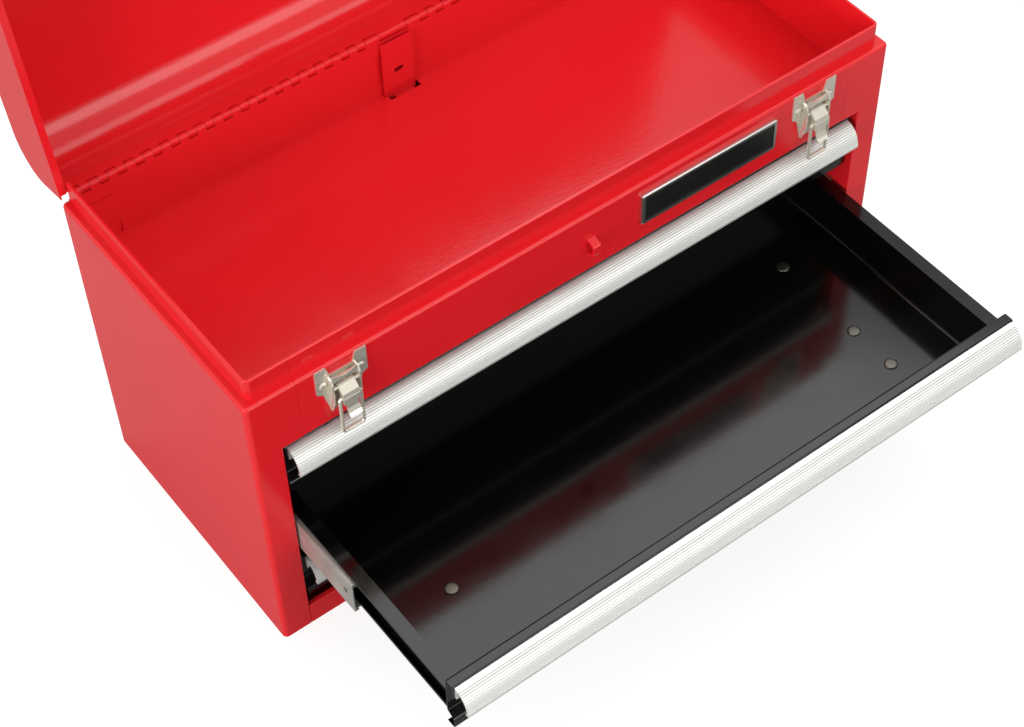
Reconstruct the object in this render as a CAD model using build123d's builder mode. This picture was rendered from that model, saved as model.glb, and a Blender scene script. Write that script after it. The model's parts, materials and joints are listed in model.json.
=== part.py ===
from build123d import *
from math import cos, radians, sin, sqrt
import os

os.makedirs("parts", exist_ok=True)

# Body, millimetres. Origin at the centre of the bottom face, front towards -Y.
W = 520.7
D = 218.0
SHOULDER_Z = 247.0
LIP_Z = SHOULDER_Z + 16.5
LIP_INSET = 5.8
T = 1.0
CORNER_R = 3.5
SHOULDER_R = 2.2
HEM = 9.0
HW = W / 2
HD = D / 2

# Drawer opening
OPEN_HALF = HW - 21.6
RAIL_Z = 19.8
OPEN_TOP = SHOULDER_Z - 51.5
FRONT_SEAM = HW - 36.7
BACK_SEAM = HW - 25.0
FLANGE_DEPTH = 30.0
SEAM_GAP = 0.15
TRAY_Z = OPEN_TOP + 3.5

# Hinge
PIN_Y = HD + 0.4
PIN_Z = SHOULDER_Z + 3.0
PIN_R = 1.35
BARREL_R = 2.4
LEAF_T = 1.0
BORE_R = BARREL_R - LEAF_T
LEAF_LOW = PIN_Z - 14.0
LEAF_HIGH = PIN_Z + 13.0
PAIR_PITCH = 13.5
KNUCKLE_GAP = 0.35
CAM_HALF = 11.3
SIDE_KNUCKLE = 11.0
PAIRS_EACH_SIDE = int((HW - LIP_INSET - 2 * T - CAM_HALF - KNUCKLE_GAP - SIDE_KNUCKLE) / PAIR_PITCH)

# Lid
LID_RIM = SHOULDER_Z + 0.6
LID_HEIGHT = 54.0
LID_R = 30.0
CROWN = 1.7
LID_OPEN_DEG = 100.5
RIM_FLANGE = 4.2

# Drawers
STRIP_TOP_Z = OPEN_TOP - 7.1
PITCH = (STRIP_TOP_Z - RAIL_Z + 9.6) / 3
FRONT_SETBACK = 4.5
STRIP_DEPTH = 8.0
STRIP_FLANGE = 12.0
FRONT_HALF = HW - 25.0
FRONT_HEIGHT = 47.5
ROLL_HEIGHT = 8.0
LEDGE_RISE = 4.0
PULL_DROP = 1.2
PULL_HALF = FRONT_HALF - 1.4
PAN_DEPTH = 47.0
RIM_DROP = 10.0
RIM_WIDTH = 9.0
PAN_BACK = D - 14.0
DT = 0.8
TRAVEL = D - 46.4
DISCS = ((-177, 89 - HD), (175, 90 - HD), (174.6, 52 - HD), (176.2, 166 - HD))
DISC_R = 4.6

# Slides, one centre height per drawer below its top strip
SLIDE_DROP = 27.8
SLIDE_HALF = 15.4
MEMBER_T = 0.8
RUN_GAP = 0.1
INNER_HALF = 11.4
SLIDE_FRONT = 16.0
SLIDE_BACK = D - 13.0
MID_FRONT = 24.0
MID_BACK = D - 16.0

# Latches
LATCH_X = HW - 68.05
LATCH_TOP = SHOULDER_Z - 0.5
LEVER_PIN_Y = -HD - 4.2
LEVER_PIN_Z = LATCH_TOP - 18.5
LEVER_PIN_R = 1.2
LEVER_HALF = 6.0
BAIL_Y = LEVER_PIN_Y - 4.3
BAIL_Z = LEVER_PIN_Z - 7.0
BAIL_WIRE_R = 1.25
BAIL_HALF = LEVER_HALF + BAIL_WIRE_R + 0.45
BAIL_REACH = 31.0
CHEEK_X = BAIL_HALF + BAIL_WIRE_R + 0.4
EAR_HALF = 18.7
PLATE_T = 1.2
RIVET_R = 1.6
RIVET_X = 14.0
RIVET_Z = LATCH_TOP - 14.5
HINGE_FIT = 0.05
STRIKE_Z = BAIL_Z + BAIL_REACH - BAIL_WIRE_R - 0.15

# Fittings
STAPLE_X = 2.0
STAPLE_Z = SHOULDER_Z - 29.5
NAME_X = LATCH_X - 92.15
NAME_Z = SHOULDER_Z - 21.9
STRAP_HALF = 12.75
HANDLE_HALF = 56.0
HANDLE_R = 3.0

LID_SWING = Pos(0, PIN_Y, PIN_Z) * Rot(-LID_OPEN_DEG, 0, 0) * Pos(0, -PIN_Y, -PIN_Z)


def save(shape, name, where=Location()):
    placed = shape.moved(where)
    placed.label = name
    export_step(placed, "parts/" + name + ".step")


def slab(x0, x1, y0, y1, z0, z1, mode=Mode.ADD):
    # An axis-aligned block between two corners, in the open part.
    with Locations(((x0 + x1) / 2, (y0 + y1) / 2, (z0 + z1) / 2)):
        Box(abs(x1 - x0), abs(y1 - y0), abs(z1 - z0), mode=mode)


def rod(x, y, z, r, length, mode=Mode.ADD, turn=(0, 90, 0)):
    # A cylinder centred on a point, along X unless turned.
    with Locations(Location((x, y, z), turn)):
        Cylinder(r, length, mode=mode)


def facet(x, y, z, r, length, sides=12, mode=Mode.ADD, turn=(0, 90, 0)):
    # A many-sided rod centred on a point, along X unless turned; r is to the middle of its sides.
    with BuildPart() as prism:
        with BuildSketch():
            RegularPolygon(r, sides, major_radius=False, rotation=180 / sides)
        extrude(amount=length / 2, both=True)
    add(prism.part.moved(Location((x, y, z), turn)), mode=mode)


def mirrored(shape):
    with BuildPart() as other:
        add(shape)
        mirror(about=Plane.YZ, mode=Mode.REPLACE)
    return other.part


# The folded body wall: outer wrap, shoulder and upstanding lip, before it is divided into sheets.
# The back carries the hinge, so it has no shoulder and no lip: the side lips run back to the hinge leaf.
LIP_BACK = HD - 2.1 * T
inner = HW - LIP_INSET - T
with BuildPart() as wrap_void:
    with BuildSketch():
        RectangleRounded(W - 2 * T, D - 2 * T, CORNER_R - T)
    extrude(amount=SHOULDER_Z - T)
    chamfer(wrap_void.faces().sort_by(Axis.Z)[-1].edges(), 0.7 * (SHOULDER_R - T))
    with BuildSketch(Plane.XY.offset(SHOULDER_Z - 4 * T)):
        with Locations((0, LIP_INSET)):
            RectangleRounded(W - 2 * (LIP_INSET + T), D - 2 * T, CORNER_R)
    extrude(amount=LIP_Z - HEM - SHOULDER_Z + 4 * T)
    with BuildSketch(Plane.XY.offset(LIP_Z - HEM - T)):
        with Locations((0, LIP_INSET)):
            RectangleRounded(W - 2 * (LIP_INSET + 2 * T), D - 4 * T, CORNER_R - T)
    extrude(amount=HEM + 2 * T)
    slab(-W, W, HD - T, W, -T, W, mode=Mode.SUBTRACT)
    slab(-inner, inner, HD - 4 * T, HD - T, SHOULDER_Z - 4 * T, SHOULDER_Z + T)

with BuildPart() as wrap:
    with BuildSketch():
        RectangleRounded(W, D, CORNER_R)
    extrude(amount=SHOULDER_Z)
    fillet(wrap.faces().sort_by(Axis.Z)[-1].edges(), SHOULDER_R)
    with BuildSketch(Plane.XY.offset(SHOULDER_Z - SHOULDER_R)):
        with Locations((0, LIP_INSET)):
            RectangleRounded(W - 2 * LIP_INSET, D, CORNER_R + T)
    extrude(amount=LIP_Z - SHOULDER_Z + SHOULDER_R)
    fillet(wrap.faces().sort_by(Axis.Z)[-1].edges(), 0.7 * T)
    slab(-W, W, HD, W, -T, W, mode=Mode.SUBTRACT)
    slab(-W, W, LIP_BACK, W, SHOULDER_Z, W, mode=Mode.SUBTRACT)
    add(wrap_void.part, mode=Mode.SUBTRACT)

with BuildPart() as left_side:
    add(wrap.part)
    slab(-BACK_SEAM, W, -T, W, -T, W, mode=Mode.SUBTRACT)
    slab(-FRONT_SEAM, W, -W, 0, OPEN_TOP, W, mode=Mode.SUBTRACT)
    slab(-OPEN_HALF, W, -W, 0, -T, OPEN_TOP, mode=Mode.SUBTRACT)
    slab(-OPEN_HALF - T, -OPEN_HALF, -HD, -HD + FLANGE_DEPTH, RAIL_Z + SEAM_GAP, OPEN_TOP)
    stile_edge = left_side.edges().filter_by(Axis.Z).filter_by_position(Axis.X, -OPEN_HALF - 0.01, -OPEN_HALF + 0.01)
    fillet(stile_edge.sort_by(Axis.Y)[0], 0.8 * T)

with BuildPart() as back_panel:
    add(wrap.part)
    slab(-W, -BACK_SEAM + SEAM_GAP, -W, W, -T, W, mode=Mode.SUBTRACT)
    slab(BACK_SEAM - SEAM_GAP, W, -W, W, -T, W, mode=Mode.SUBTRACT)
    slab(-W, W, -W, HD - 2 * T, -T, W, mode=Mode.SUBTRACT)
    for s in (-1, 1):
        slab(s * (BACK_SEAM - 10), s * (BACK_SEAM + 12), HD - 2 * T, HD - T, 14, LEAF_LOW - 2)

with BuildPart() as front_upper_panel:
    add(wrap.part)
    for s in (-1, 1):
        slab(s * (FRONT_SEAM - SEAM_GAP), s * W, -W, W, -T, W, mode=Mode.SUBTRACT)
    slab(-W, W, -HD + LIP_INSET + 3 * T, W, -T, W, mode=Mode.SUBTRACT)
    slab(-W, W, -W, W, -T, OPEN_TOP, mode=Mode.SUBTRACT)
    slab(-FRONT_SEAM + SEAM_GAP, FRONT_SEAM - SEAM_GAP, -HD, -HD + 14, OPEN_TOP, OPEN_TOP + T)
    for s in (-1, 1):
        slab(s * (FRONT_SEAM - 8), s * (FRONT_SEAM + 20), -HD + T, -HD + 2 * T, TRAY_Z + 0.2, SHOULDER_Z - 4)
    low_edge = front_upper_panel.edges().filter_by(Axis.X).filter_by_position(Axis.Y, -HD - 0.01, -HD + 0.01)
    fillet(low_edge.sort_by(Axis.Z)[0], 0.8 * T)
    for s in (-1, 1):
        for dx in (-RIVET_X, RIVET_X):
            facet(s * LATCH_X + dx, -HD, RIVET_Z, RIVET_R, 4 * T, 8, Mode.SUBTRACT, (90, 0, 0))

with BuildPart() as bottom_pan:
    with BuildSketch():
        RectangleRounded(W - 2 * T, D - 2 * T, CORNER_R - T)
    extrude(amount=T)
    slab(-OPEN_HALF + SEAM_GAP, OPEN_HALF - SEAM_GAP, -HD, -HD + T, 0, RAIL_Z)
    slab(-OPEN_HALF + SEAM_GAP, OPEN_HALF - SEAM_GAP, -HD, -HD + 3.6, RAIL_Z - T, RAIL_Z)
    for s in (-1, 1):
        slab(s * (OPEN_HALF - 8), s * (HW - 8), -HD + T, -HD + 2 * T, 0, RAIL_Z - 2)
        slab(s * (HW - 2 * T), s * (HW - T), -HD + 8, HD - 36, 0, 12)
    slab(-BACK_SEAM + 12, BACK_SEAM - 12, HD - 2 * T, HD - T, 0, 12)
    rail_edge = bottom_pan.edges().filter_by(Axis.X).filter_by_position(Axis.Y, -HD - 0.01, -HD + 0.01)
    fillet(rail_edge.sort_by(Axis.Z)[-1], 0.8 * T)

with BuildPart() as tray_floor:
    slab(-HW + T, HW - T, -HD + CORNER_R, HD - CORNER_R, TRAY_Z - T, TRAY_Z)
    slab(-HW + CORNER_R, HW - CORNER_R, -HD + T, HD - 2 * T, TRAY_Z - T, TRAY_Z)
    slab(-BACK_SEAM + 12, BACK_SEAM - 12, HD - 2 * T, HD - T, TRAY_Z - T, TRAY_Z + 10.5)
    slab(-STRAP_HALF + 1.5, STRAP_HALF + 2, HD - 10, HD - 3.0, TRAY_Z - 2 * T, TRAY_Z + T, mode=Mode.SUBTRACT)
    slab(-STRAP_HALF - 0.6, STRAP_HALF + 2, HD - 6.0, HD - 3.0, TRAY_Z - 2 * T, TRAY_Z + T, mode=Mode.SUBTRACT)

with BuildPart() as rear_post_left:
    slab(-HW + T, -HW + 2 * T, HD - 28, HD - 12, T, TRAY_Z - T)
    slab(-HW + T, -OPEN_HALF, HD - 13, HD - 12, T, TRAY_Z - T)
    slab(-OPEN_HALF - T, -OPEN_HALF, HD - 28, HD - 12, T, TRAY_Z - T)


# Piano hinge. Knuckle spans along X: the body's and the lid's alternate outside the three long ones.
def knuckle_spans():
    body = []
    lid = [(-CAM_HALF, CAM_HALF)]
    start = CAM_HALF + KNUCKLE_GAP + SIDE_KNUCKLE
    half = PAIR_PITCH / 2
    for s in (-1, 1):
        body.append((s * (CAM_HALF + KNUCKLE_GAP), s * start))
        for i in range(PAIRS_EACH_SIDE):
            a = start + i * PAIR_PITCH
            lid.append((s * (a + KNUCKLE_GAP), s * (a + half - KNUCKLE_GAP)))
            body.append((s * (a + half), s * (a + PAIR_PITCH)))
    return body, lid


body_spans, lid_spans = knuckle_spans()
HINGE_HALF = CAM_HALF + KNUCKLE_GAP + SIDE_KNUCKLE + PAIRS_EACH_SIDE * PAIR_PITCH
LEAF_Y = PIN_Y - BARREL_R


def hinge_leaf(spans, far, near):
    # far is the leaf's free edge, near its edge beside the other leaf's barrels.
    lengths = sorted({round(abs(b - a), 3) for a, b in spans})
    with BuildPart() as leaf:
        with BuildSketch(Plane.XZ.offset(-LEAF_Y)):
            with Locations((0, (far + near) / 2)):
                Rectangle(2 * HINGE_HALF, abs(near - far))
            with Locations(*[((a + b) / 2, (near + PIN_Z) / 2) for a, b in spans if abs(b - a) < SIDE_KNUCKLE / 1.2]):
                Rectangle(lengths[0], abs(PIN_Z - near))
            for a, b in spans:
                if abs(b - a) > SIDE_KNUCKLE / 1.2:
                    with Locations(((a + b) / 2, (near + PIN_Z) / 2)):
                        Rectangle(abs(b - a), abs(PIN_Z - near))
        extrude(amount=-LEAF_T)
        for length in lengths:
            for a, b in spans:
                if round(abs(b - a), 3) == length:
                    with BuildSketch(Plane((min(a, b), PIN_Y, PIN_Z), x_dir=(0, 1, 0), z_dir=(1, 0, 0))):
                        RegularPolygon(BARREL_R, 8, major_radius=False, rotation=22.5)
                        RegularPolygon(BORE_R, 6, major_radius=False, mode=Mode.SUBTRACT)
            extrude(amount=length)
    return leaf.part


with BuildPart() as hinge_pin:
    rod(0, PIN_Y, PIN_Z, PIN_R, 2 * HINGE_HALF)

with BuildPart() as name_plate:
    slab(NAME_X - 58.2, NAME_X + 58.2, -HD - 3.0, -HD, NAME_Z - 13.3, NAME_Z + 13.3)
    fillet(name_plate.edges().filter_by(Axis.Y), 2.0)
    chamfer(name_plate.faces().sort_by(Axis.Y)[0].edges(), 0.8)
    slab(NAME_X - 55.4, NAME_X + 55.4, -HD - 4, -HD - 2.4, NAME_Z - 10.5, NAME_Z + 10.5, mode=Mode.SUBTRACT)

with BuildPart() as padlock_staple:
    with BuildSketch(Plane.YZ.offset(STAPLE_X - 3)):
        with BuildLine():
            top = STAPLE_Z + 7
            low = STAPLE_Z - 7
            FilletPolyline((-HD, top), (-HD - 6.5, top - 3), (-HD - 6.5, low + 3), (-HD, low), radius=2.5)
            Line((-HD, low), (-HD, low + 1.8))
            FilletPolyline(
                (-HD, low + 1.8), (-HD - 5.0, low + 4), (-HD - 5.0, top - 4), (-HD, top - 1.8), radius=1.5
            )
            Line((-HD, top - 1.8), (-HD, top))
        make_face()
    extrude(amount=6)


def latch_base_at(x):
    low = LATCH_TOP - 40
    step = LATCH_TOP - 20.5
    scoop = LATCH_TOP - 8
    with BuildPart() as base:
        # The flat plate: two ears above a step, then wings that taper to the tip
        with BuildSketch(Plane((x, -HD, 0), x_dir=(1, 0, 0), z_dir=(0, -1, 0))):
            with BuildLine():
                Polyline((-10, low), (10, low), (14.5, step - 2.5), (EAR_HALF, step), (EAR_HALF, LATCH_TOP))
                Polyline((EAR_HALF, LATCH_TOP), (EAR_HALF - 8, LATCH_TOP), (CHEEK_X - 1, scoop), (1 - CHEEK_X, scoop))
                Polyline((1 - CHEEK_X, scoop), (8 - EAR_HALF, LATCH_TOP), (-EAR_HALF, LATCH_TOP), (-EAR_HALF, step))
                Polyline((-EAR_HALF, step), (-14.5, step - 2.5), (-10, low))
            make_face()
        extrude(amount=PLATE_T)
        # Cheeks on both sides of the lever, joined by a bridge above it
        for s in (-1, 1):
            with BuildSketch(Plane((x + s * CHEEK_X, 0, 0), x_dir=(0, 1, 0), z_dir=(1, 0, 0))):
                with BuildLine():
                    Polyline((-HD, low), (-HD, scoop), (-HD - 4.4, scoop - 1), (-HD - 6.4, scoop - 5))
                    Polyline((-HD - 6.4, scoop - 5), (-HD - 6.4, low + 12), (-HD - 2.5, low), (-HD, low))
                make_face()
            extrude(amount=s * PLATE_T)
        slab(x - CHEEK_X, x + CHEEK_X, -HD - 4.4, -HD - 4.4 + PLATE_T, scoop - 4.6, scoop - 1)
        for dx in (-RIVET_X, RIVET_X):
            facet(x + dx, -HD, RIVET_Z, RIVET_R, 4 * T, 8, Mode.SUBTRACT, (90, 0, 0))
        facet(x, LEVER_PIN_Y, LEVER_PIN_Z, LEVER_PIN_R, 24, 12, Mode.SUBTRACT)
    return base.part


def rivet(x, z):
    # A domed rivet through a plate and the sheet behind it
    seat = Plane((x, -HD - PLATE_T, z), x_dir=(1, 0, 0), z_dir=(0, -1, 0))
    with BuildPart() as one:
        with BuildSketch(seat):
            RegularPolygon(2.8, 10)
        extrude(amount=1.0, taper=42)
        with BuildSketch(seat):
            RegularPolygon(RIVET_R, 8, major_radius=False, rotation=22.5)
        extrude(amount=-PLATE_T - T)
    return one.part


with BuildPart() as latch_rivets:
    for s in (-1, 1):
        for dx in (-RIVET_X, RIVET_X):
            add(rivet(s * LATCH_X + dx, RIVET_Z))

with BuildPart() as latch_pins:
    for s in (-1, 1):
        facet(s * LATCH_X, LEVER_PIN_Y, LEVER_PIN_Z, LEVER_PIN_R, 2 * (CHEEK_X + PLATE_T))


def lever_at(x):
    tip = BAIL_Z - 14
    with BuildPart() as lever:
        # Plate from the pin barrel down past the bail's barrel
        with BuildSketch(Plane((x - LEVER_HALF, 0, 0), x_dir=(0, 1, 0), z_dir=(1, 0, 0))):
            with BuildLine():
                Polyline(
                    (LEVER_PIN_Y - 2.3, LEVER_PIN_Z + 0.6),
                    (BAIL_Y - 1.6, BAIL_Z + 4.5),
                    (BAIL_Y - 2.4, BAIL_Z),
                    (BAIL_Y - 2.4, BAIL_Z - 4.5),
                    (BAIL_Y - 1.2, BAIL_Z - 4.5),
                    (BAIL_Y, BAIL_Z),
                    (LEVER_PIN_Y, LEVER_PIN_Z),
                    (LEVER_PIN_Y - 2.3, LEVER_PIN_Z + 0.6),
                )
            make_face()
        extrude(amount=2 * LEVER_HALF)
        # Narrower finger tab, curled outwards
        with BuildSketch(Plane((x - LEVER_HALF + 1.6, 0, 0), x_dir=(0, 1, 0), z_dir=(1, 0, 0))):
            with BuildLine():
                Polyline(
                    (BAIL_Y - 2.4, BAIL_Z - 4.4),
                    (BAIL_Y - 2.6, BAIL_Z - 8.5),
                    (BAIL_Y - 4.0, tip + 2),
                    (BAIL_Y - 5.8, tip),
                    (BAIL_Y - 4.9, tip - 0.8),
                    (BAIL_Y - 2.9, tip + 1.4),
                    (BAIL_Y - 1.4, BAIL_Z - 8.5),
                    (BAIL_Y - 1.2, BAIL_Z - 4.4),
                    (BAIL_Y - 2.4, BAIL_Z - 4.4),
                )
            make_face()
        extrude(amount=2 * (LEVER_HALF - 1.6))
        facet(x, LEVER_PIN_Y, LEVER_PIN_Z, 2.3, 2 * LEVER_HALF)
        facet(x, BAIL_Y, BAIL_Z, 2.4, 2 * LEVER_HALF)
        facet(x, LEVER_PIN_Y, LEVER_PIN_Z, LEVER_PIN_R + HINGE_FIT, 20, mode=Mode.SUBTRACT)
        facet(x, BAIL_Y, BAIL_Z, BAIL_WIRE_R + HINGE_FIT, 20, mode=Mode.SUBTRACT)
    return lever.part


def wire(plane, points, r, corner):
    # A bent rod: each corner of the path is taken off by two mitres.
    path = [points[0]]
    for before, at, after in zip(points, points[1:], points[2:]):
        for other in (before, after):
            gap = sqrt((other[0] - at[0]) ** 2 + (other[1] - at[1]) ** 2)
            path.append((at[0] + (other[0] - at[0]) * corner / gap, at[1] + (other[1] - at[1]) * corner / gap))
    path.append(points[-1])
    with BuildPart() as rod_part:
        with BuildLine(plane) as line:
            Polyline(*path)
        with BuildSketch(Plane(origin=line.line @ 0, z_dir=line.line % 0)):
            RegularPolygon(r, 12, rotation=15)
        sweep(transition=Transition.RIGHT)
    return rod_part.part


def bail_at(x):
    plane = Plane((x, BAIL_Y, BAIL_Z), x_dir=(1, 0, 0), z_dir=(0, -1, 0))
    foot = (1.5, 0)
    knee = (BAIL_HALF, 0)
    end = (BAIL_HALF, -BAIL_REACH)
    points = [(-foot[0], 0), (-knee[0], 0), (-end[0], end[1]), end, knee, foot]
    return wire(plane, points, BAIL_WIRE_R, 0.8 * BAIL_WIRE_R)


with BuildPart() as lock_strap:
    # Shallow channel with an oval hole, and a lanced tab over the front of its slot in the tray floor
    y = HD - 5.4
    low = TRAY_Z - 9
    slab(-STRAP_HALF, STRAP_HALF, y, y + PLATE_T, low, SHOULDER_Z - 1)
    for s in (-1, 1):
        slab(s * (STRAP_HALF - T), s * STRAP_HALF, y, y + 2.0, low, SHOULDER_Z - 1)
    slab(STRAP_HALF - 18, STRAP_HALF - 2, y - 4.5, y, TRAY_Z - 4, TRAY_Z - 4 + PLATE_T)
    slab(STRAP_HALF - 18, STRAP_HALF - 2, y - 4.5, y - 4.5 + PLATE_T, TRAY_Z - 6.5, TRAY_Z - 3)
    with BuildSketch(Plane.XZ.offset(-y - 2 * T)):
        with Locations((0, TRAY_Z + 20)):
            SlotOverall(8, 4.2, rotation=0)
    extrude(amount=4 * T, mode=Mode.SUBTRACT)

# Lid, modelled closed and swung open about the pin when saved
LID_TOP = LID_RIM + LID_HEIGHT - CROWN
LID_RIVET_Z = LID_RIM + 16


def lid_profile(x, inset):
    h = HD - inset
    r = LID_R - inset
    top = LID_TOP - inset
    k = r * (1 - sqrt(0.5))
    with BuildSketch(Plane.YZ.offset(x)) as outline:
        with BuildLine():
            Line((-h, LID_RIM), (-h, top - r))
            ThreePointArc((-h, top - r), (-h + k, top - k), (-h + r, top))
            ThreePointArc((-h + r, top), (0, top + CROWN), (h - r, top))
            ThreePointArc((h - r, top), (h - k, top - k), (h, top - r))
            Line((h, top - r), (h, LID_RIM))
            Line((h, LID_RIM), (-h, LID_RIM))
        make_face()
    return outline.sketch


with BuildPart() as lid_shell:
    extrude(lid_profile(-HW + T, 0), amount=W - 2 * T)
    extrude(lid_profile(-HW, T), amount=W, mode=Mode.SUBTRACT)
    slab(-HW + T, HW - T, -HD + T, -HD + 2 * T, LID_RIM, LID_RIM + 8)
    slab(-W, W, HD - 2 * T, HD + T, 0, PIN_Z + BARREL_R + 0.5, mode=Mode.SUBTRACT)
    for at in (-LATCH_X - 6, -LATCH_X + 6, -10, 10, LATCH_X - 6, LATCH_X + 6):
        facet(at, -HD, LID_RIVET_Z, RIVET_R, 4, 8, Mode.SUBTRACT, (90, 0, 0))

with BuildPart() as lid_end_left:
    extrude(lid_profile(-HW, 0), amount=T)
    outer = lid_end_left.faces().sort_by(Axis.X)[0]
    chamfer(outer.edges().sort_by(Axis.Z)[1:], 0.6 * T)
    slab(-HW + T, -HW + T + RIM_FLANGE, -HD + 2.2 * T, HD - 3 * T, LID_RIM, LID_RIM + T)


def strike_at(x):
    # Plate with a hook whose floor carries the bail's bar when the bail is turned up
    y = BAIL_Y - BAIL_WIRE_R - 0.2
    with BuildPart() as strike:
        slab(x - 10, x + 10, -HD - PLATE_T, -HD, STRIKE_Z - PLATE_T, LID_RIVET_Z + 4.4)
        with BuildSketch(Plane.YZ.offset(x - 5.2)):
            with BuildLine():
                Polyline(
                    (-HD, STRIKE_Z - PLATE_T),
                    (y - PLATE_T, STRIKE_Z - PLATE_T),
                    (y - PLATE_T, STRIKE_Z + 3.6),
                    (y, STRIKE_Z + 3.6),
                    (y, STRIKE_Z),
                    (-HD, STRIKE_Z),
                    (-HD, STRIKE_Z - PLATE_T),
                )
            make_face()
        extrude(amount=10.4)
        for dx in (-6, 6):
            facet(x + dx, -HD, LID_RIVET_Z, RIVET_R, 4, 8, Mode.SUBTRACT, (90, 0, 0))
    return strike.part


HASP_Y = -HD - 2.6
HASP_Z = LID_RIM + 7.4
with BuildPart() as hasp_bracket:
    slab(-16, 16, -HD - PLATE_T, -HD, HASP_Z, LID_RIM + 21)
    for s in (-1, 1):
        facet(s * 12, HASP_Y, HASP_Z, 2.2, 8)
    slab(-7.9, 7.9, HASP_Y - 3, -HD, HASP_Z - 3, HASP_Z + 2.5, mode=Mode.SUBTRACT)
    facet(0, HASP_Y, HASP_Z, 1.05, 40, mode=Mode.SUBTRACT)
    for s in (-1, 1):
        facet(s * 10, -HD, LID_RIVET_Z, RIVET_R, 4, 8, Mode.SUBTRACT, (90, 0, 0))

with BuildPart() as hasp:
    slab(-14, 14, -HD - 1.7, -HD - 0.5, STAPLE_Z - 11.5, HASP_Z - 3.5)
    slab(-7.6, 7.6, -HD - 1.7, -HD - 0.5, HASP_Z - 4, HASP_Z)
    chamfer(hasp.edges().filter_by(Axis.Y).group_by(Axis.Z)[0], 5)
    facet(0, HASP_Y, HASP_Z, 2.2, 15.2)
    facet(0, HASP_Y, HASP_Z, 1.0, 32)
    slab(STAPLE_X - 4.5, STAPLE_X + 4.5, -W, 0, STAPLE_Z - 9, STAPLE_Z + 9, mode=Mode.SUBTRACT)

with BuildPart() as lid_rivets:
    for at in (-LATCH_X - 6, -LATCH_X + 6, -10, 10, LATCH_X - 6, LATCH_X + 6):
        add(rivet(at, LID_RIVET_Z))

LID_PEAK = LID_TOP + CROWN
GRIP_Z = LID_PEAK + 4.2
HANDLE_END = HANDLE_HALF + 19
with BuildPart() as handle_brackets:
    for s in (-1, 1):
        slab(s * (HANDLE_HALF + 4), s * (HANDLE_HALF + 28), -11, 11, LID_PEAK, LID_PEAK + PLATE_T)
        slab(s * (HANDLE_HALF + 7), s * (HANDLE_HALF + 17), -5, 5, LID_PEAK, LID_PEAK + 8.4)
    chamfer(handle_brackets.edges().filter_by(Axis.X).group_by(Axis.Z)[-1], 2.4)
    facet(0, 0, GRIP_Z, HANDLE_R + 0.06, 2 * HANDLE_END + 30, mode=Mode.SUBTRACT)

HANG = LID_OPEN_DEG - 90
HANDLE_PLANE = Plane((0, 0, GRIP_Z), x_dir=(1, 0, 0), z_dir=(0, -sin(radians(HANG)), cos(radians(HANG))))
grip = [(-HANDLE_END, 0), (-HANDLE_HALF, 0), (-HANDLE_HALF, 42), (HANDLE_HALF, 42), (HANDLE_HALF, 0), (HANDLE_END, 0)]
carry_handle = wire(HANDLE_PLANE, grip, HANDLE_R, 3.2)


# Slides: profiles drawn on the left side, looking along Y, then mirrored
def bar(x0, x1, z0, z1, y0, y1, mode=Mode.ADD):
    slab(-HW + x0, -HW + x1, -HD + y0, -HD + y1, z0, z1, mode=mode)


def outer_member(z):
    with BuildPart() as member:
        half = SLIDE_HALF
        bar(21.6, 21.6 + MEMBER_T, z - half, z + half, SLIDE_FRONT, SLIDE_BACK)
        for s in (-1, 1):
            a = z + s * half
            bar(21.6, 27.2, a - s * MEMBER_T, a, SLIDE_FRONT, SLIDE_BACK)
            bar(27.2 - MEMBER_T, 27.2, a - s * 3, a, SLIDE_FRONT, SLIDE_BACK)
    return member.part


def middle_member(z):
    half = SLIDE_HALF - MEMBER_T - RUN_GAP
    with BuildPart() as member:
        # Web with flanges inside the outer member and two flanges that carry the inner one
        bar(22.8, 22.8 + MEMBER_T, z - half, z + half, MID_FRONT, MID_BACK)
        for s in (-1, 1):
            a = z + s * half
            bar(22.8, 26.1, a - s * MEMBER_T, a, MID_FRONT, MID_BACK)
            b = z + s * (INNER_HALF + RUN_GAP)
            bar(22.8, 31.8, b, b + s * MEMBER_T, MID_FRONT, MID_BACK)
        bar(22.0, 23.2, z + 7, z + 9, MID_FRONT - 3, MID_BACK + 3, mode=Mode.SUBTRACT)
        facet(-HW + 23.2, -HD + MID_FRONT + 9, z, 2.2, 4, 10, Mode.SUBTRACT)
    return member.part


def inner_member(z):
    with BuildPart() as member:
        bar(34.0 - MEMBER_T, 34.0, z - INNER_HALF, z + INNER_HALF, SLIDE_FRONT, PAN_BACK - 4)
        for s in (-1, 1):
            a = z + s * INNER_HALF
            bar(27.4, 34.0, a - s * MEMBER_T, a, SLIDE_FRONT, PAN_BACK - 4)
            bar(27.4, 27.4 + MEMBER_T, a - s * 2.6, a, SLIDE_FRONT, PAN_BACK - 4)
    return member.part


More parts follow.
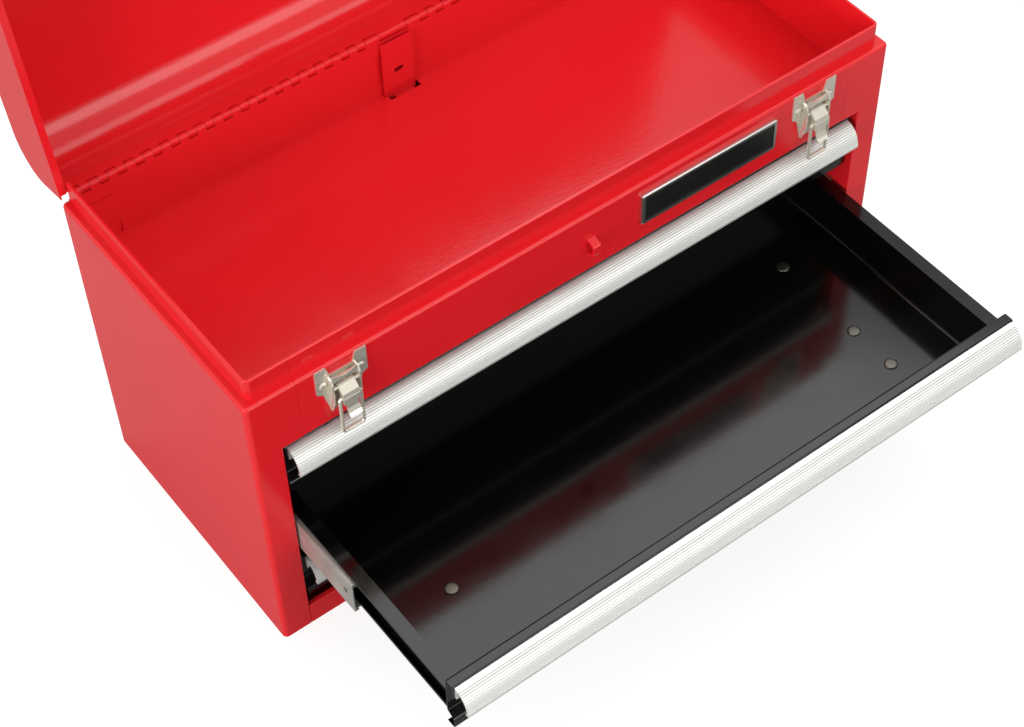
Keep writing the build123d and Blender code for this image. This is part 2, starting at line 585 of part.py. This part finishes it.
# Drawers, modelled closed
def drawer_pan(strip):
    half = HW - 34.0
    y0 = -HD + FRONT_SETBACK + STRIP_DEPTH
    y1 = -HD + PAN_BACK
    rim = strip - RIM_DROP
    floor = strip - PAN_DEPTH
    with BuildPart() as pan:
        with BuildSketch(Plane.XZ.offset(-y0)):
            with Locations((0, (rim + floor - DT) / 2)):
                Rectangle(2 * half, rim - floor + DT)
        extrude(amount=y0 - y1)
        low = pan.edges().filter_by(Axis.Y).group_by(Axis.Z)[0]
        fillet(low, 3)
        with BuildSketch(Plane.XZ.offset(-y0 - DT)) as hollow:
            with Locations((0, (rim + 2 * T + floor) / 2)):
                Rectangle(2 * (half - DT), rim + 2 * T - floor)
            fillet(hollow.vertices().group_by(Axis.Y)[0], 3 - DT)
        extrude(amount=y0 - y1 + 2 * DT, mode=Mode.SUBTRACT)
        for s in (-1, 1):
            slab(s * half, s * (half + RIM_WIDTH), y0, y1, rim - DT, rim)
            slab(s * (half + RIM_WIDTH - 3), s * (half + RIM_WIDTH), y0, y1, rim - 2 * DT, rim - DT)
        for x, y in DISCS:
            with BuildSketch(Plane.XY.offset(floor)):
                with Locations((x, y)):
                    RegularPolygon(DISC_R, 12)
        extrude(amount=0.5)
    return pan.part


def drawer_front(strip):
    # One bent sheet: flange and strip above, a face set back behind them, then a rolled nose
    y0 = -HD + FRONT_SETBACK
    y1 = y0 + STRIP_DEPTH
    low = strip - FRONT_HEIGHT + DT
    with BuildPart() as face:
        with BuildSketch(Plane.YZ.offset(-FRONT_HALF)):
            with BuildLine():
                FilletPolyline(
                    (y0, strip - STRIP_FLANGE),
                    (y0, strip),
                    (y1, strip),
                    (y1, low + ROLL_HEIGHT + LEDGE_RISE),
                    (y0 + 1.2, low + ROLL_HEIGHT),
                    (y0 + 1.2, low),
                    (y1, low),
                    radius=1.6,
                )
                offset(amount=DT, side=Side.RIGHT)
            make_face()
        extrude(amount=2 * FRONT_HALF)
    return face.part


def pull_point(t, grow):
    # A point on the pull's curved lip, measured from the front edge of the drawer's top strip.
    return (-0.8 - (12.6 + grow) * sin(radians(t)), -17 + (17 - PULL_DROP + grow) * cos(radians(t)))


def drawer_pull(strip):
    # A plain land beside the flange, then ten ribs down to the tip
    outer_curve = [(0, -PULL_DROP)]
    for t in (0, 5, 10, 14):
        outer_curve.append(pull_point(t, 0))
    for i in range(10):
        start = 15 + 7.3 * i
        outer_curve.append(pull_point(start, -0.5))
        outer_curve.append(pull_point(start + 2.2, -0.5))
        outer_curve.append(pull_point(start + 3.0, 0))
        outer_curve.append(pull_point(start + 6.3, 0))
    outer_curve.append(pull_point(88, 0))
    outer_curve.append((-13.4, -17.4))
    outer_curve.append((-12.6, -18.4))
    outer_curve.append((-10.2, -18.0))
    outer_curve.append((-10.0, -17.0))
    inner_curve = []
    for i in range(9):
        inner_curve.append(pull_point(84 - 9 * i, -1.7))
    leg = [(-1.4, -PULL_DROP - 2.4), (-1.4, -STRIP_FLANGE), (0, -STRIP_FLANGE), (0, -PULL_DROP)]
    y0 = -HD + FRONT_SETBACK
    points = [(y0 + p[0], strip + p[1]) for p in outer_curve + [(-11.6, -16.6)] + inner_curve + leg]
    with BuildPart() as pull:
        with BuildSketch(Plane.YZ.offset(-PULL_HALF)):
            with BuildLine():
                Polyline(*points)
            make_face()
        extrude(amount=2 * PULL_HALF)
    return pull.part


save(left_side.part, "left_side")
save(mirrored(left_side.part), "right_side")
save(back_panel.part, "back_panel")
save(front_upper_panel.part, "front_upper_panel")
save(bottom_pan.part, "bottom_pan")
save(tray_floor.part, "tray_floor")
save(rear_post_left.part, "rear_post_left")
save(mirrored(rear_post_left.part), "rear_post_right")
save(hinge_leaf(body_spans, LEAF_LOW, PIN_Z - BARREL_R - 0.4), "hinge_lower_leaf")
save(hinge_pin.part, "hinge_pin")
save(name_plate.part, "name_plate")
save(padlock_staple.part, "padlock_staple")
save(latch_rivets.part, "latch_rivets")
save(latch_pins.part, "latch_pins")
for side, s in (("left", -1), ("right", 1)):
    save(latch_base_at(s * LATCH_X), "latch_base_" + side)
    save(lever_at(s * LATCH_X), "latch_lever_" + side)
    save(bail_at(s * LATCH_X), "latch_bail_" + side)
    save(strike_at(s * LATCH_X), "strike_" + side, LID_SWING)
save(lock_strap.part, "lock_strap")
save(lid_shell.part, "lid_shell", LID_SWING)
save(lid_end_left.part, "lid_end_left", LID_SWING)
save(mirrored(lid_end_left.part), "lid_end_right", LID_SWING)
save(hinge_leaf(lid_spans, LEAF_HIGH, PIN_Z + BARREL_R + 0.4), "hinge_upper_leaf", LID_SWING)
save(hasp_bracket.part, "hasp_bracket", LID_SWING)
save(lid_rivets.part, "lid_rivets", LID_SWING)
save(handle_brackets.part, "handle_brackets", LID_SWING)
save(hasp.part, "hasp", LID_SWING)
save(carry_handle, "carry_handle", LID_SWING)

for name, row, out in (("top", 0, 0), ("middle", 1, TRAVEL), ("bottom", 2, 0)):
    strip = STRIP_TOP_Z - row * PITCH
    z = strip - SLIDE_DROP
    pulled = Location((0, -out, 0))
    halfway = Location((0, -out / 2, 0))
    save(drawer_pan(strip), "drawer_pan_" + name, pulled)
    save(drawer_front(strip), "drawer_front_" + name, pulled)
    save(drawer_pull(strip), "drawer_pull_" + name, pulled)
    save(outer_member(z), "slide_outer_" + name + "_left")
    save(mirrored(outer_member(z)), "slide_outer_" + name + "_right")
    save(middle_member(z), "slide_middle_" + name + "_left", halfway)
    save(mirrored(middle_member(z)), "slide_middle_" + name + "_right", halfway)
    save(inner_member(z), "slide_inner_" + name + "_left", pulled)
    save(mirrored(inner_member(z)), "slide_inner_" + name + "_right", pulled)
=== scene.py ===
"""Looks of the portable tool box: finishes, small trim, camera and light. Lengths in metres."""

import bpy
import json
import math
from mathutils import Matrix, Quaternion, Vector


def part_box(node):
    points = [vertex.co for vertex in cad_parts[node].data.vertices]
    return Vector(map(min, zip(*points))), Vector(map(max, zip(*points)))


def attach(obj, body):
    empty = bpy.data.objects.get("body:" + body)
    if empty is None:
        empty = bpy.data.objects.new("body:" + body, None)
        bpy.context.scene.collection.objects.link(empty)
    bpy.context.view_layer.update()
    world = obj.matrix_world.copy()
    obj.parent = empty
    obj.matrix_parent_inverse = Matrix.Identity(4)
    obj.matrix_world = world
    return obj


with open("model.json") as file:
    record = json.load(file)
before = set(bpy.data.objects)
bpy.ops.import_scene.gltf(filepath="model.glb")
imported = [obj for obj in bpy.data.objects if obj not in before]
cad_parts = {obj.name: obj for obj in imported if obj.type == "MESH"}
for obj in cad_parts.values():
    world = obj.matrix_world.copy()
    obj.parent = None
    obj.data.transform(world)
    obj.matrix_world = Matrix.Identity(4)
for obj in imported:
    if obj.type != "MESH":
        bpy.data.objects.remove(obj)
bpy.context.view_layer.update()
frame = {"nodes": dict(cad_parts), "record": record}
nodes = frame["nodes"]
scene = bpy.context.scene

# Where the solids stand that the looks are fitted to
HALF_DEPTH = 0.109
LATCH_X = 0.26035 - 0.06805
TRAVEL = 0.1716
STRIP_TOP_Z = 0.1884
PITCH = 0.0594
FRONT_SETBACK = 0.0045
PAN_DEPTH = 0.047
DRAWERS = (("top", 0.0), ("middle", TRAVEL), ("bottom", 0.0))

# The pulls' curve, an ellipse in the YZ plane, and the turn in degrees from rib to rib
CURVE_BACK = 0.0008
CURVE_DROP = 0.017
CURVE_RADIUS_Y = 0.0126
CURVE_RADIUS_Z = 0.0158
RIB_START = 14.0
RIB_STEP = 7.3

# Discs on the floor of each drawer, from the box's middle and its front
DISCS = ((-0.177, 0.089), (0.175, 0.090), (0.1746, 0.052), (0.1762, 0.166))
DISC_LIFT = 0.0004
DOME_RADIUS = 0.0047
DOME_HEIGHT = 0.0007
DOME_SIDES = 40
DOME_RINGS = ((0.35, 0.985), (0.6, 0.93), (0.8, 0.82), (0.92, 0.62), (1.0, 0.25), (1.0, 0.0))

# Front wall of each latch
WALL_HALF = 0.0092
WALL_Y = (-0.1142, -0.1134)
WALL_LOW = 0.2340
WALL_HIGH = 0.2372
SCOOP_DEPTH = 0.0030
SCOOP_POWER = 1.6
SCOOP_STEPS = 12
WALL_ROUND = 0.0002

PLATE_RIM = 0.0026
PLATE_FACE = 0.0028


# Shader helpers
def new_material(name):
    mat = bpy.data.materials.new(name)
    mat.use_nodes = True
    tree = mat.node_tree
    return mat, tree, tree.nodes["Principled BSDF"]


def math_node(tree, operation, *values):
    node = tree.nodes.new("ShaderNodeMath")
    node.operation = operation
    for plug, value in zip(node.inputs, values):
        if isinstance(value, float):
            plug.default_value = value
        else:
            tree.links.new(value, plug)
    return node.outputs["Value"]


def object_axes(tree, centre=None):
    # X, Y and Z in the frame, or the distances from centre along them
    place = tree.nodes.new("ShaderNodeTexCoord").outputs["Object"]
    if centre is not None:
        offset = tree.nodes.new("ShaderNodeVectorMath")
        offset.operation = "SUBTRACT"
        offset.inputs[1].default_value = centre
        tree.links.new(place, offset.inputs[0])
        distance = tree.nodes.new("ShaderNodeVectorMath")
        distance.operation = "ABSOLUTE"
        tree.links.new(offset.outputs["Vector"], distance.inputs[0])
        place = distance.outputs["Vector"]
    axes = tree.nodes.new("ShaderNodeSeparateXYZ")
    tree.links.new(place, axes.inputs["Vector"])
    return axes.outputs


def noise(tree, scale, detail=3.0, roughness=0.5, stretch=(1, 1, 1)):
    coord = tree.nodes.new("ShaderNodeTexCoord")
    mapping = tree.nodes.new("ShaderNodeMapping")
    mapping.inputs["Scale"].default_value = stretch
    tex = tree.nodes.new("ShaderNodeTexNoise")
    tex.inputs["Scale"].default_value = scale
    tex.inputs["Detail"].default_value = detail
    tex.inputs["Roughness"].default_value = roughness
    tree.links.new(coord.outputs["Object"], mapping.inputs["Vector"])
    tree.links.new(mapping.outputs["Vector"], tex.inputs["Vector"])
    return tex.outputs["Fac"]


def ramp(tree, source, stops):
    node = tree.nodes.new("ShaderNodeValToRGB")
    elements = node.color_ramp.elements
    for element, (at, colour) in zip(elements, (stops[0], stops[-1])):
        element.position = at
        element.color = colour
    for at, colour in stops[1:-1]:
        elements.new(at).color = colour
    tree.links.new(source, node.inputs["Fac"])
    return node.outputs["Color"]


def blend_colour(tree, factor, low, high):
    node = tree.nodes.new("ShaderNodeMix")
    node.data_type = "RGBA"
    tree.links.new(factor, node.inputs["Factor"])
    tree.links.new(low, node.inputs[6])
    tree.links.new(high, node.inputs[7])
    return node.outputs[2]


def blend_shader(tree, factor, low, high):
    node = tree.nodes.new("ShaderNodeMixShader")
    tree.links.new(factor, node.inputs["Fac"])
    tree.links.new(low, node.inputs[1])
    tree.links.new(high, node.inputs[2])
    return node.outputs["Shader"]


def bump(tree, shader, height, strength, distance):
    node = tree.nodes.new("ShaderNodeBump")
    node.inputs["Strength"].default_value = strength
    node.inputs["Distance"].default_value = distance
    tree.links.new(height, node.inputs["Height"])
    tree.links.new(node.outputs["Normal"], shader.inputs["Normal"])


def grey(v):
    return (v, v, v, 1)


# Finishes
def paint(name, colour, darker, rough, peel, peel_scale):
    # Smooth enamel: slight mottling, uneven gloss and orange peel
    mat, tree, shader = new_material(name)
    tone = ramp(tree, noise(tree, 7.0), [(0.3, darker), (0.7, colour)])
    tree.links.new(tone, shader.inputs["Base Color"])
    gloss = ramp(tree, noise(tree, 35.0), [(0.25, grey(rough - 0.02)), (0.8, grey(rough + 0.03))])
    tree.links.new(gloss, shader.inputs["Roughness"])
    bump(tree, shader, noise(tree, peel_scale, detail=0.0), peel, 0.0006)
    return mat


def metal(name, colour, darker, rough, scale, grain_depth, metallic=1.0):
    # Plated metal: a fine grain in its tone, gloss and surface
    mat, tree, shader = new_material(name)
    shader.inputs["Metallic"].default_value = metallic
    grain = noise(tree, scale, detail=4.0, roughness=0.55)
    tone = ramp(tree, grain, [(0.3, darker), (0.7, colour)])
    tree.links.new(tone, shader.inputs["Base Color"])
    gloss = ramp(tree, grain, [(0.3, grey(rough)), (0.7, grey(rough + 0.10))])
    tree.links.new(gloss, shader.inputs["Roughness"])
    bump(tree, shader, grain, grain_depth, 0.0002)
    return mat


def ribbed(name, front_y, top_z):
    # Satin aluminium with painted shade in the grooves between the pull's ribs, placed by the angle
    # round its curve
    mat, tree, shader = new_material(name)
    shader.inputs["Metallic"].default_value = 0.5
    axes = object_axes(tree)
    across = math_node(tree, "SUBTRACT", front_y - CURVE_BACK, axes["Y"])
    across = math_node(tree, "MULTIPLY", across, 1 / CURVE_RADIUS_Y)
    up = math_node(tree, "SUBTRACT", axes["Z"], top_z - CURVE_DROP)
    up = math_node(tree, "MULTIPLY", up, 1 / CURVE_RADIUS_Z)
    turn = math_node(tree, "MULTIPLY", math_node(tree, "ARCTAN2", across, up), 180 / math.pi)
    ribs = math_node(tree, "SUBTRACT", turn, RIB_START)
    ribs = math_node(tree, "MULTIPLY", ribs, 1 / RIB_STEP)
    # From one rib to the next: a narrow groove darkened with painted shade, then the bright rib
    phases = ((0.0, 1.0), (0.08, 0.0), (0.36, 0.0), (0.46, 1.0), (1.0, 1.0))
    rib = ramp(tree, math_node(tree, "FRACT", ribs), [(at, grey(v)) for at, v in phases])
    smooth = math_node(tree, "SUBTRACT", 1.0, math_node(tree, "GREATER_THAN", ribs, 0.0))
    unshaded = math_node(tree, "MAXIMUM", rib, smooth)
    grain = noise(tree, 10, stretch=(2, 60, 60))
    light_tone = ramp(tree, grain, [(0.3, (0.94, 0.94, 0.905, 1)), (0.7, (0.97, 0.97, 0.935, 1))])
    # Painted shade: the darker tone that the grooves take
    groove_shade_tone = ramp(tree, grain, [(0.3, (0.56, 0.56, 0.53, 1)), (0.7, (0.62, 0.62, 0.59, 1))])
    tree.links.new(blend_colour(tree, unshaded, groove_shade_tone, light_tone), shader.inputs["Base Color"])
    gloss = ramp(tree, grain, [(0.3, grey(0.38)), (0.7, grey(0.44))])
    tree.links.new(gloss, shader.inputs["Roughness"])
    bump(tree, shader, grain, 0.03, 0.0002)
    return mat


def rimmed_plate(name, low, high):
    # A brushed metal rim round a bare black field
    mat, tree, shader = new_material(name)
    middle = [(a + b) / 2 for a, b in zip(low, high)]
    half = [(b - a) / 2 for a, b in zip(low, high)]
    distance = object_axes(tree, (middle[0], high[1], middle[2]))
    field = math_node(tree, "LESS_THAN", distance["X"], half[0] - PLATE_RIM)
    for axis, limit in (("Y", PLATE_FACE), ("Z", half[2] - PLATE_RIM)):
        within = math_node(tree, "LESS_THAN", distance[axis], limit)
        field = math_node(tree, "MULTIPLY", field, within)
    brushed = noise(tree, 30, detail=5.0, roughness=0.6, stretch=(1, 1, 40))
    satin = ramp(tree, brushed, [(0.3, (0.62, 0.61, 0.58, 1)), (0.7, (0.74, 0.73, 0.70, 1))])
    speckle = noise(tree, 300, detail=2.0)
    enamel = ramp(tree, speckle, [(0.3, (0.006, 0.006, 0.006, 1)), (0.7, (0.011, 0.011, 0.010, 1))])
    tree.links.new(blend_colour(tree, field, satin, enamel), shader.inputs["Base Color"])
    tree.links.new(math_node(tree, "SUBTRACT", 1.0, field), shader.inputs["Metallic"])
    shader.inputs["Roughness"].default_value = 0.3
    bump(tree, shader, brushed, 0.08, 0.0002)
    return mat


red = paint(
    "red_paint",
    colour=(0.78, 0.0140, 0.0205, 1),
    darker=(0.74, 0.0120, 0.0180, 1),
    rough=0.17,
    peel=0.07,
    peel_scale=380,
)
black = paint(
    "black_paint",
    colour=(0.0022, 0.0022, 0.0020, 1),
    darker=(0.0016, 0.0016, 0.0015, 1),
    rough=0.12,
    peel=0.012,
    peel_scale=300,
)
dipped = paint(
    "handle_black",
    colour=(0.010, 0.010, 0.010, 1),
    darker=(0.008, 0.008, 0.008, 1),
    rough=0.36,
    peel=0.30,
    peel_scale=500,
)
zinc = metal(
    "zinc",
    colour=(0.60, 0.63, 0.58, 1),
    darker=(0.50, 0.53, 0.48, 1),
    rough=0.36,
    scale=60,
    grain_depth=0.08,
    metallic=0.7,
)
nickel = metal(
    "nickel",
    colour=(0.80, 0.75, 0.64, 1),
    darker=(0.72, 0.67, 0.56, 1),
    rough=0.20,
    scale=90,
    grain_depth=0.04,
    metallic=0.6,
)
disc_metal = metal(
    "disc_metal",
    colour=(0.155, 0.150, 0.125, 1),
    darker=(0.115, 0.110, 0.092, 1),
    rough=0.34,
    scale=200,
    grain_depth=0.10,
)

slot_material = {
    "red_paint": red,
    "black_paint": black,
    "zinc": zinc,
    "nickel": nickel,
    "plate_black": rimmed_plate("plate_black", *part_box("name_plate")),
    "handle_black": dipped,
}
pull_material = {
    "drawer_pull_" + name: ribbed(
        "pull_" + name, FRONT_SETBACK - HALF_DEPTH - out, STRIP_TOP_Z - row * PITCH
    )
    for row, (name, out) in enumerate(DRAWERS)
}
for part in frame["record"]["subparts"]:
    shape = nodes[part["node"]]
    finish = pull_material.get(part["node"]) or slot_material[part["material_slot"]]
    shape.data.materials.clear()
    shape.data.materials.append(finish)


# Small trim
def mesh_piece(name, verts, faces, material, body, smooth=True):
    data = bpy.data.meshes.new(name)
    data.from_pydata(verts, [], faces)
    data.update()
    for face in data.polygons:
        face.use_smooth = smooth
    piece = bpy.data.objects.new(name, data)
    scene.collection.objects.link(piece)
    piece.data.materials.append(material)
    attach(piece, body)
    return piece


def dome(x, y, z):
    # Verts and faces of a shallow rivet head with a rounded edge, standing on z
    verts = [(x, y, z + DOME_HEIGHT)]
    for share, lift in DOME_RINGS:
        for i in range(DOME_SIDES):
            turn = 2 * math.pi * i / DOME_SIDES
            r = DOME_RADIUS * share
            verts.append((x + r * math.cos(turn), y + r * math.sin(turn), z + DOME_HEIGHT * lift))
    faces = [(0, 1 + i, 1 + (i + 1) % DOME_SIDES) for i in range(DOME_SIDES)]
    for ring in range(len(DOME_RINGS) - 1):
        for i in range(DOME_SIDES):
            a = 1 + ring * DOME_SIDES + i
            b = 1 + ring * DOME_SIDES + (i + 1) % DOME_SIDES
            faces.append((a, a + DOME_SIDES, b + DOME_SIDES, b))
    return verts, faces


def scooped_wall(middle_x):
    # Verts and faces of an upright plate whose top edge dips in the middle
    outline = [(middle_x - WALL_HALF, WALL_LOW)]
    for i in range(SCOOP_STEPS + 1):
        u = 2 * i / SCOOP_STEPS - 1
        rise = SCOOP_DEPTH * abs(u) ** SCOOP_POWER
        outline.append((middle_x + WALL_HALF * u, WALL_HIGH + rise))
    outline.append((middle_x + WALL_HALF, WALL_LOW))
    n = len(outline)
    verts = [(x, y, z) for y in WALL_Y for x, z in outline]
    faces = [tuple(range(n)), tuple(reversed(range(n, 2 * n)))]
    faces += [(i, i + n, (i + 1) % n + n, (i + 1) % n) for i in range(n)]
    return verts, faces


# Rivet heads on the drawer floors, over the plain discs of the pans
for row, (name, out) in enumerate(DRAWERS):
    floor_z = STRIP_TOP_Z - row * PITCH - PAN_DEPTH + DISC_LIFT
    for i, (x, y) in enumerate(DISCS):
        verts, faces = dome(x, y - HALF_DEPTH - out, floor_z)
        mesh_piece(f"pan_rivet_{name}_{i}", verts, faces, disc_metal, "drawer_" + name)

# A wall on the small bridge of each latch base
for side, s in (("left", -1), ("right", 1)):
    verts, faces = scooped_wall(s * LATCH_X)
    wall = mesh_piece("latch_wall_" + side, verts, faces, nickel, "cabinet", smooth=False)
    edge = wall.modifiers.new("edge", "BEVEL")
    edge.width = WALL_ROUND
    edge.segments = 2

# Camera
cam_data = bpy.data.cameras.new("camera")
cam_data.lens = 75.65
cam_data.sensor_width = 36.0
cam = bpy.data.objects.new("camera", cam_data)
scene.collection.objects.link(cam)
cam.location = (-0.5933, -0.8440, 1.2411)
target = Vector((-0.0640, -0.1090, 0.1466))
look = (target - cam.location).to_track_quat("-Z", "Y")
roll = Quaternion((0, 0, 1), math.radians(-1.773))
cam.rotation_mode = "QUATERNION"
cam.rotation_quaternion = look @ roll
scene.camera = cam

# Floor: pale to the camera, and a mid grey to the light
floor_mat, tree, shader = new_material("floor")
shader.inputs["Base Color"].default_value = (0.32, 0.32, 0.315, 1)
shader.inputs["Roughness"].default_value = 0.9
bpy.ops.mesh.primitive_plane_add(size=14, location=(0, 0, 0))
floor = bpy.context.object
floor.name = "floor"
floor.data.materials.append(floor_mat)
glow = tree.nodes.new("ShaderNodeEmission")
glow.inputs["Strength"].default_value = 0.78
pale = tree.nodes.new("ShaderNodeAddShader")
tree.links.new(shader.outputs["BSDF"], pale.inputs[0])
tree.links.new(glow.outputs["Emission"], pale.inputs[1])
by_camera = tree.nodes.new("ShaderNodeLightPath").outputs["Is Camera Ray"]
surface = blend_shader(tree, by_camera, shader.outputs["BSDF"], pale.outputs["Shader"])
tree.links.new(surface, tree.nodes["Material Output"].inputs["Surface"])

# World: white to the camera, a little darker as light
world = bpy.data.worlds.new("world")
scene.world = world
world.use_nodes = True
tree = world.node_tree
sky = tree.nodes["Background"]
seen = tree.nodes.new("ShaderNodeBackground")
for background, strength in ((sky, 0.76), (seen, 1.0)):
    background.inputs["Color"].default_value = (1, 1, 1, 1)
    background.inputs["Strength"].default_value = strength
by_camera = tree.nodes.new("ShaderNodeLightPath").outputs["Is Camera Ray"]
surface = blend_shader(tree, by_camera, sky.outputs["Background"], seen.outputs["Background"])
tree.links.new(surface, tree.nodes["World Output"].inputs["Surface"])


def softbox(name, location, aim_z, size, watts):
    # A rectangular lamp that points at the height aim_z over the box's middle
    data = bpy.data.lights.new(name, "AREA")
    data.shape = "RECTANGLE"
    data.size, data.size_y = size
    data.energy = watts
    lamp = bpy.data.objects.new(name, data)
    lamp.location = location
    lamp.rotation_mode = "QUATERNION"
    aim = Vector((0, 0, aim_z)) - Vector(location)
    lamp.rotation_quaternion = aim.to_track_quat("-Z", "Y")
    scene.collection.objects.link(lamp)


softbox("key", (-3.0, -0.9, 0.95), aim_z=0.15, size=(1.6, 1.4), watts=54)
softbox("top", (1.0, 0.5, 2.85), aim_z=0.1, size=(2.05, 2.05), watts=24)
softbox("front", (0.6, -2.8, 1.4), aim_z=0.1, size=(1.8, 1.4), watts=20)

scene.view_settings.view_transform = "Standard"
